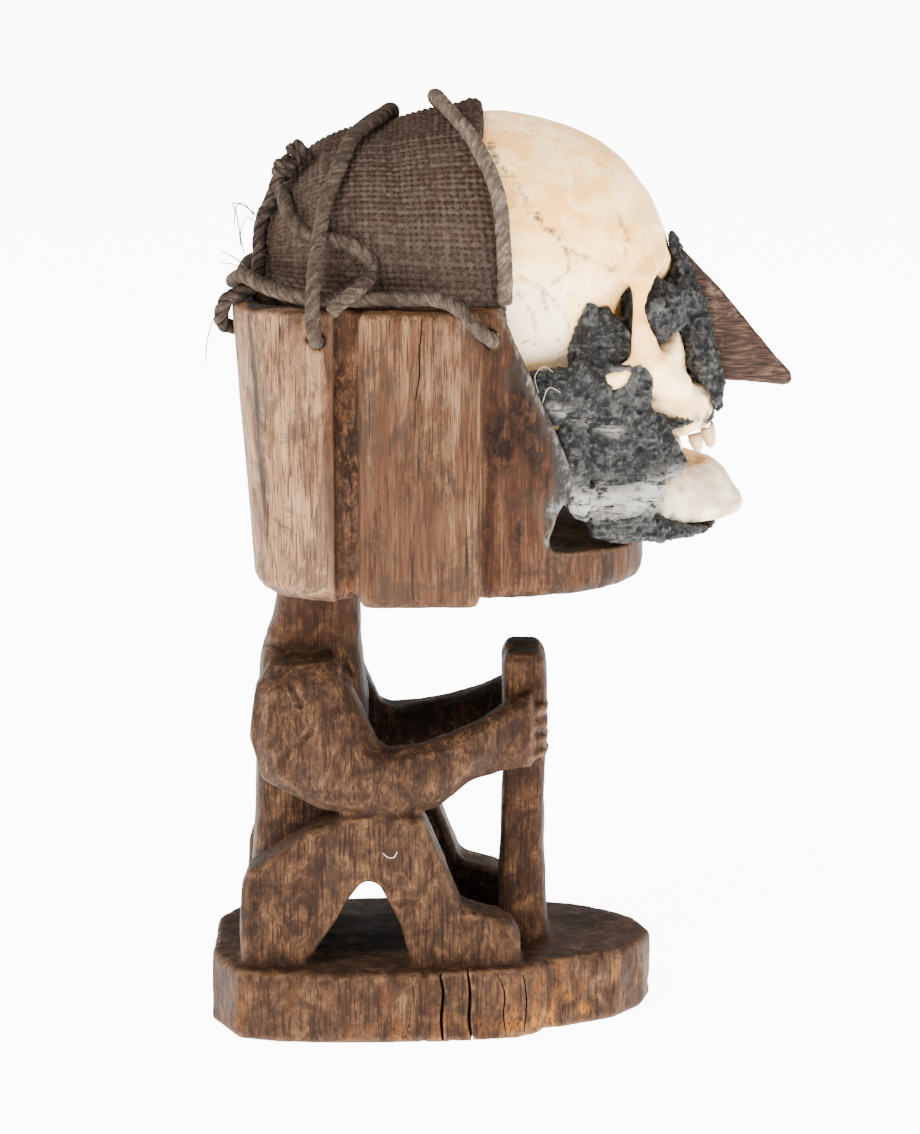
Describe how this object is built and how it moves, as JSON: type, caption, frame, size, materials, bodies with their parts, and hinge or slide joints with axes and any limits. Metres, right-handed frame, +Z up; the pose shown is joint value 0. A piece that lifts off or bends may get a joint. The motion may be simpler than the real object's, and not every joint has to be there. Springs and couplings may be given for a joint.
{
  "type": "wooden ancestor figure",
  "caption": "Carved wooden figure squatting on its base with a held post; its open head box carries a skull with paste, wooden nose, woven cap and cord lashing.",
  "frame": {"origin": "centre of the base's underside, in the middle of the base's length", "axes": "+Z up, +X the way the figure faces, the figure's right side towards -Y"},
  "size_m": [0.2561, 0.1984, 0.4111],
  "materials": {
    "weathered_wood": "dry, weathered, unpainted",
    "dark_wood": "dark, worn",
    "bone": "smooth, dull",
    "tooth": "smooth",
    "paste": "matt, rough",
    "woven_fibre": "coarse plain weave",
    "fibre_cord": "twisted, hairy"
  },
  "bodies": {
    "root": {"figure": "weathered_wood", "cranium": "bone", "mandible": "bone", "tooth_1": "tooth", "tooth_2": "tooth", "tooth_3": "tooth", "nose_board": "dark_wood", "paste_face": "paste", "paste_jaw": "paste", "cap": "woven_fibre", "cord_front": "fibre_cord", "cord_middle": "fibre_cord", "cord_low": "fibre_cord", "cord_loop": "fibre_cord", "cord_back": "fibre_cord", "cord_knot": "fibre_cord"}
  },
  "joints": []
}
